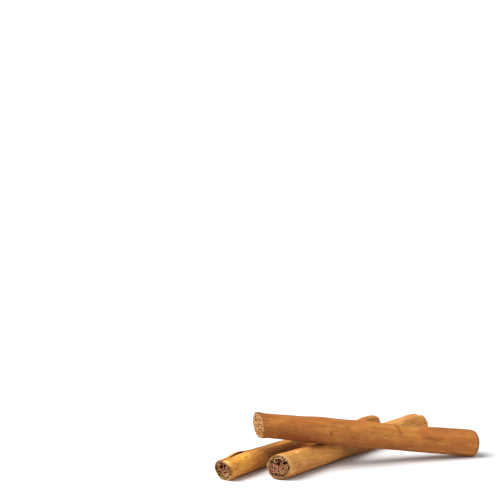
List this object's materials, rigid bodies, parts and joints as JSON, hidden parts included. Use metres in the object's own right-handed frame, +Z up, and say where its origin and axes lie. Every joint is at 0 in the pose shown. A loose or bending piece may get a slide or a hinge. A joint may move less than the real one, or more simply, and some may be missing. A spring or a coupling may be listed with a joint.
{
  "type": "bundle of cinnamon sticks",
  "caption": "Loose bundle of rolled cinnamon bark sticks lying on a table, two side by side and another leaning across them, for kitchen, spice and food scenes.",
  "frame": {"origin": "on the table, under the middle of the bundle's bounding box", "axes": "+Z up from the table, +X to the right as seen from the front, where the two lower sticks' front ends are, and +Y away from the front"},
  "size_m": [0.1142, 0.0958, 0.0256],
  "materials": {
    "golden_bark": "dry, matt, fibrous lengthwise",
    "tan_bark": "dry, matt, fibrous lengthwise",
    "red_brown_bark": "dry, matt, fibrous lengthwise"
  },
  "bodies": {
    "root": {"lower_left_stick": "golden_bark", "lower_right_stick": "tan_bark", "upper_stick": "red_brown_bark"}
  },
  "joints": []
}
